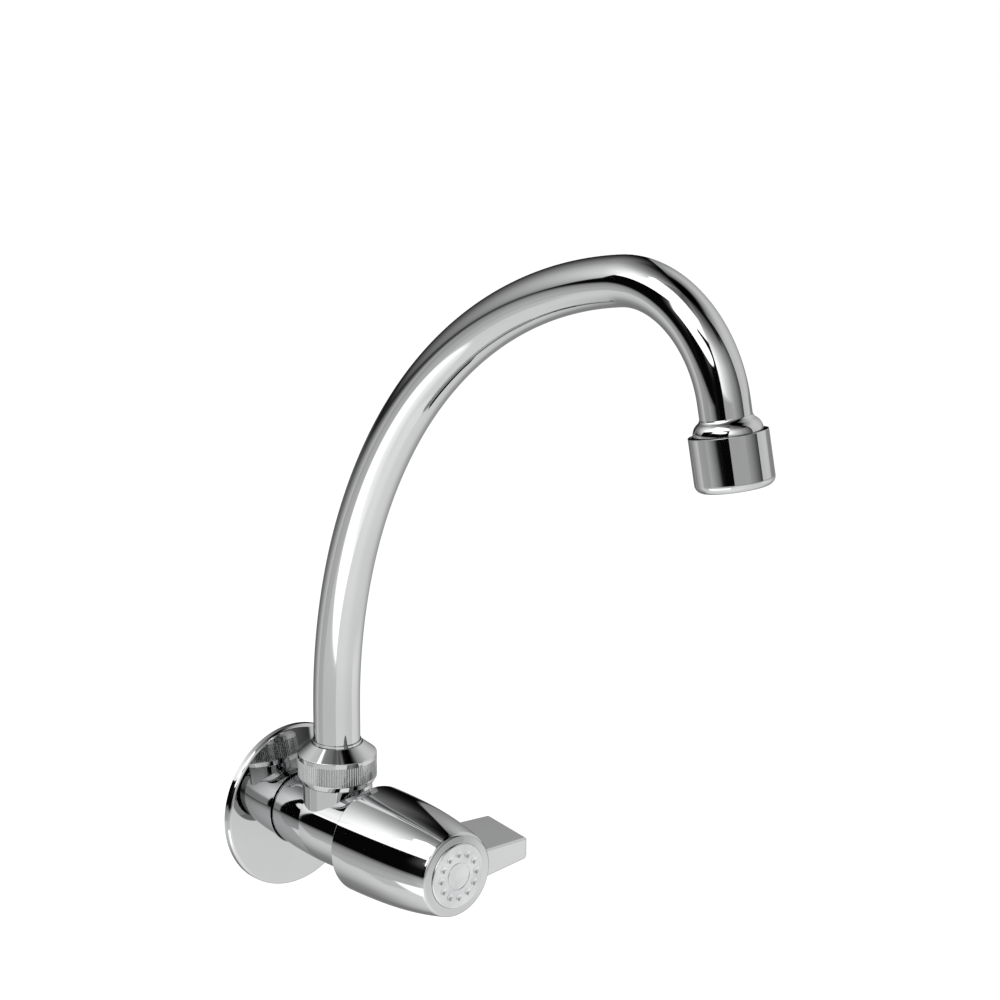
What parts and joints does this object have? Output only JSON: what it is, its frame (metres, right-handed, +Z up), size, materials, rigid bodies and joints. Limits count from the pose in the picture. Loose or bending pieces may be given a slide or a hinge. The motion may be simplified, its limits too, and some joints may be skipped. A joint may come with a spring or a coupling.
{
  "type": "wall-mounted kitchen faucet",
  "caption": "Chromed wall-mounted faucet with a horizontal valve body, a quarter-turn lever handle on its front end and a tall swivelling gooseneck spout with an aerator.",
  "frame": {"origin": "on the wall plane, on the axis of the horizontal body and of its inlet thread", "axes": "+Y goes into the wall along the inlet thread, -Y comes out into the room towards the handle and the spout's outlet, +Z is up along the spout's swivel axis, +X is to the right for a person who faces the wall"},
  "size_m": [0.0708, 0.2746, 0.2854],
  "materials": {
    "polished_chrome": "mirror-polished chrome plate on brass and zinc castings",
    "turned_brass": "bare turned brass with a true thread",
    "black_rubber": "moulded nitrile rubber",
    "white_ceramic": "lapped alumina ceramic",
    "stainless_steel": "stainless steel",
    "white_moulding": "moulded acetal",
    "grey_moulding": "moulded acetal, light grey",
    "satin_button": "satin chrome, finely turned"
  },
  "bodies": {
    "tap_body": {"valve_body": "polished_chrome", "wall_escutcheon": "polished_chrome", "escutcheon_grip_ring": "black_rubber", "inlet_nipple": "turned_brass", "inlet_gasket": "white_moulding", "seat_seal": "black_rubber", "fixed_ceramic_disc": "white_ceramic", "cartridge_bonnet": "turned_brass", "bonnet_oring": "black_rubber", "spout_nut": "polished_chrome", "spout_guide_ring": "polished_chrome", "spout_thrust_ring": "white_moulding"},
    "handle": {"lever_handle": "polished_chrome", "index_button": "satin_button", "handle_screw": "stainless_steel", "spline_insert": "white_moulding", "spindle": "turned_brass", "spindle_orings": "black_rubber", "spindle_thrust_washer": "white_moulding", "spindle_circlip": "stainless_steel", "moving_ceramic_disc": "white_ceramic"},
    "spout": {"spout_tube": "polished_chrome", "spout_stem": "turned_brass", "spout_orings": "black_rubber", "outlet_adapter": "polished_chrome", "aerator_shell": "polished_chrome", "aerator_gasket": "black_rubber", "aerator_housing": "grey_moulding", "aerator_jet_disc": "grey_moulding", "aerator_screen": "stainless_steel", "flow_straightener": "grey_moulding"}
  },
  "joints": [
    {"name": "handle_turn", "type": "hinge", "parent": "tap_body", "child": "handle", "pos_m": [0, -0.075, 0], "axis": [0, -1, 0], "range_deg": [0, 90]},
    {"name": "spout_swivel", "type": "hinge", "parent": "tap_body", "child": "spout", "pos_m": [0, -0.0295, 0.03], "axis": [0, 0, 1], "range_deg": [-90, 90]}
  ]
}
